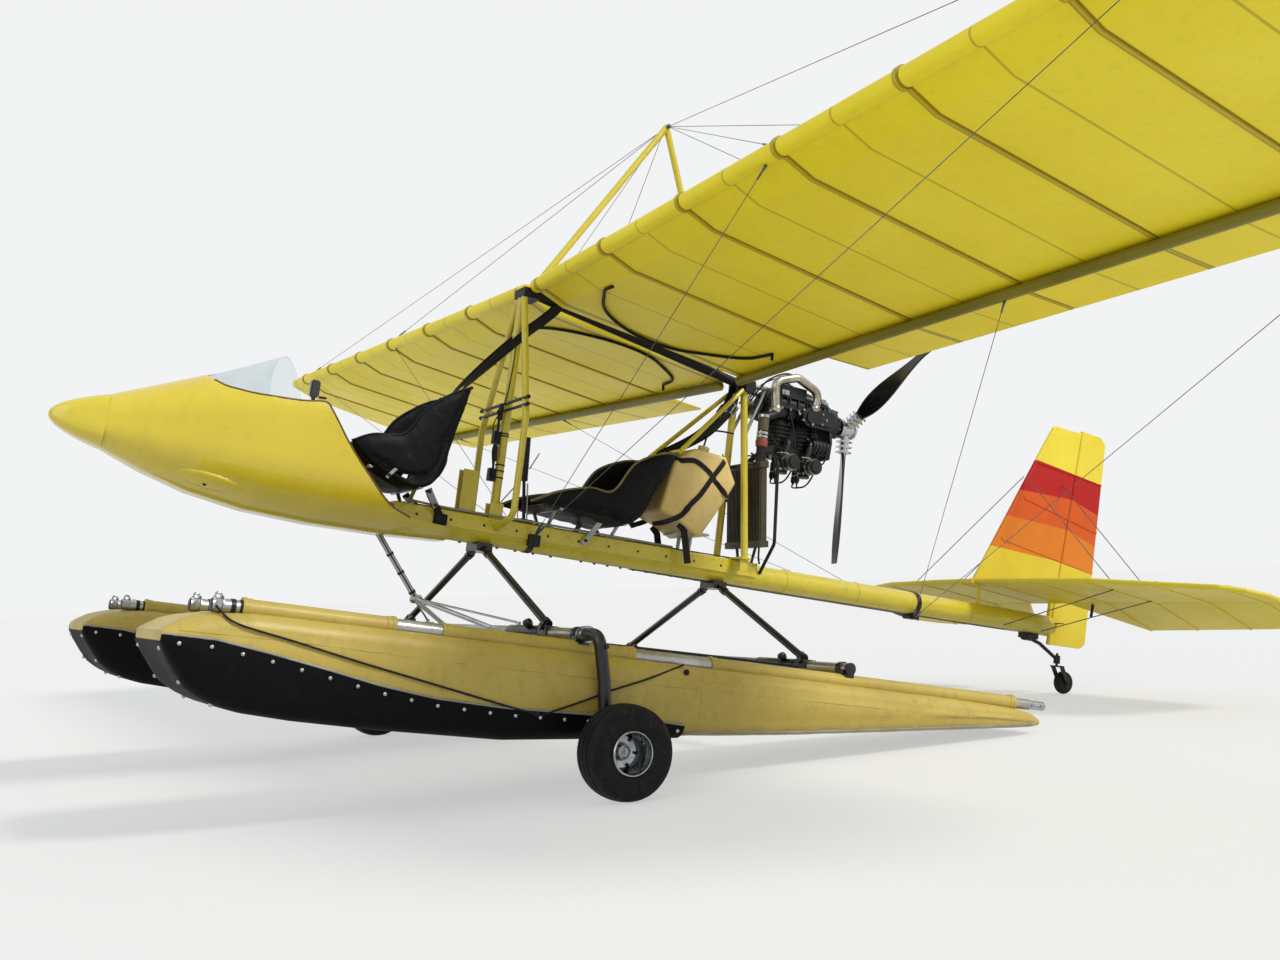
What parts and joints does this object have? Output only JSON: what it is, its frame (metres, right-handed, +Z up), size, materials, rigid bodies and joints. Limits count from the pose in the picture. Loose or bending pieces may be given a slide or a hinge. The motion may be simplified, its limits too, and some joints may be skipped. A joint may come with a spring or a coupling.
{
  "type": "microlight aircraft",
  "caption": "Open two-seat tandem high-wing microlight with pusher propeller, wire bracing, single tail boom and inflatable floats with wheels.",
  "frame": {"origin": "on the ground under the middle of the overall length and span", "axes": "+Z up, nose towards -Y, the aircraft's left wing towards +X, parked tail low on its wheels"},
  "size_m": [9.1204, 6.2588, 3.211],
  "materials": {
    "boom_yellow": "gloss yellow enamel on aluminium tube",
    "pod_gloss": "gloss yellow moulded glass fibre",
    "screen_clear": "clear bent acrylic sheet",
    "panel_black": "matt black",
    "wing_fabric": "sun-lit yellow sailcloth",
    "tail_fabric": "yellow sailcloth",
    "rudder_fabric": "yellow sailcloth with three red and orange bands",
    "spar_yellow": "yellow tube",
    "wire_steel": "stranded stainless wire",
    "bracket_black": "black painted steel",
    "float_skin": "yellow coated float fabric",
    "keel_rubber": "black rubbing sheet",
    "float_alloy": "bare aluminium tube",
    "strut_black": "black painted tube",
    "tyre_black": "black tyre rubber",
    "rim_polished": "polished alloy rim",
    "seat_fabric": "black woven seat cover",
    "bracket_grey": "bare alloy brackets",
    "strap_black": "black webbing",
    "tank_plastic": "translucent cream polyethylene",
    "radiator_brown": "dark brown fins",
    "engine_black": "black engine paint",
    "exhaust_silver": "bare steel",
    "hose_rubber": "black hose",
    "hub_silver": "machined clamps",
    "blade_black": "black composite"
  },
  "bodies": {
    "airframe": {"carburettors": "engine_black", "cockpit_controls": "panel_black", "cockpit_tray": "boom_yellow", "coolant_hoses": "hose_rubber", "engine_bed": "bracket_grey", "engine_block": "engine_black", "exhaust": "exhaust_silver", "fin": "tail_fabric", "float_frame": "float_alloy", "float_left": "float_skin", "float_right": "float_skin", "float_struts": "strut_black", "flying_wires": "wire_steel", "front_posts": "boom_yellow", "front_seat": "seat_fabric", "fuel_tank": "tank_plastic", "gear_leg_left": "strut_black", "gear_leg_right": "strut_black", "gearbox": "engine_black", "harness_straps": "strap_black", "instrument_panel": "panel_black", "keel_guard_left": "keel_rubber", "keel_guard_right": "keel_rubber", "king_post": "boom_yellow", "landing_wires": "wire_steel", "main_boom": "boom_yellow", "nose_pod": "pod_gloss", "radiator": "radiator_brown", "rear_posts": "boom_yellow", "rear_seat": "seat_fabric", "rear_spar_left": "spar_yellow", "rear_spar_right": "spar_yellow", "root_tube": "panel_black", "rudder_pedals": "float_alloy", "seat_brackets": "bracket_grey", "stabiliser": "tail_fabric", "tail_braces": "wire_steel", "tail_spring": "bracket_black", "trailing_strip_left": "wing_fabric", "trailing_strip_right": "wing_fabric", "tube_sleeves": "float_skin", "windscreen": "screen_clear", "wing_left": "wing_fabric", "wing_right": "wing_fabric", "wire_anchors": "bracket_black"},
    "propeller": {"prop_hub": "hub_silver", "prop_blades": "blade_black"},
    "wheel_left": {"tyre_left": "tyre_black", "rim_left": "rim_polished"},
    "wheel_right": {"tyre_right": "tyre_black", "rim_right": "rim_polished"},
    "tail_fork": {"tail_fork": "bracket_black"},
    "tail_wheel": {"tail_wheel": "tyre_black"},
    "rudder": {"rudder": "rudder_fabric"},
    "elevator": {"elevator": "tail_fabric"},
    "aileron_left": {"aileron_left": "wing_fabric"},
    "aileron_right": {"aileron_right": "wing_fabric"}
  },
  "joints": [
    {"name": "propeller_spin", "type": "hinge", "parent": "airframe", "child": "propeller", "pos_m": [0, 0.97714, 1.60767], "axis": [0, 0.9857, -0.1685], "continuous": true},
    {"name": "wheel_left_spin", "type": "hinge", "parent": "airframe", "child": "wheel_left", "pos_m": [1.4, -1.3216, 0.18], "axis": [1, 0, 0], "continuous": true},
    {"name": "wheel_right_spin", "type": "hinge", "parent": "airframe", "child": "wheel_right", "pos_m": [-1.4, -1.3216, 0.18], "axis": [1, 0, 0], "continuous": true},
    {"name": "tail_wheel_steer", "type": "hinge", "parent": "airframe", "child": "tail_fork", "pos_m": [0, 2.56594, 0.1897], "axis": [0, 0.1685, 0.9857], "range_deg": [-25, 25]},
    {"name": "tail_wheel_spin", "type": "hinge", "parent": "tail_fork", "child": "tail_wheel", "pos_m": [0, 2.61345, 0.07], "axis": [1, 0, 0], "continuous": true},
    {"name": "rudder_hinge", "type": "hinge", "parent": "airframe", "child": "rudder", "pos_m": [0, 2.55729, 0.48336], "axis": [0, 0.3129, 0.9498], "range_deg": [-25, 25]},
    {"name": "elevator_hinge", "type": "hinge", "parent": "airframe", "child": "elevator", "pos_m": [0, 2.52036, 0.5759], "axis": [1, 0, 0], "range_deg": [-13, 32]},
    {"name": "aileron_left_hinge", "type": "hinge", "parent": "airframe", "child": "aileron_left", "pos_m": [2.04659, 0.26432, 1.91847], "axis": [0.9992, 0.0066, 0.0387], "range_deg": [-20, 20]},
    {"name": "aileron_right_hinge", "type": "hinge", "parent": "airframe", "child": "aileron_right", "pos_m": [-2.04659, 0.26432, 1.91847], "axis": [0.9992, -0.0066, -0.0387], "range_deg": [-20, 20]}
  ],
  "couplings": [
    {"joint": "tail_wheel_steer", "follows": "rudder_hinge", "ratio": 1},
    {"joint": "aileron_right_hinge", "follows": "aileron_left_hinge", "ratio": -1}
  ]
}
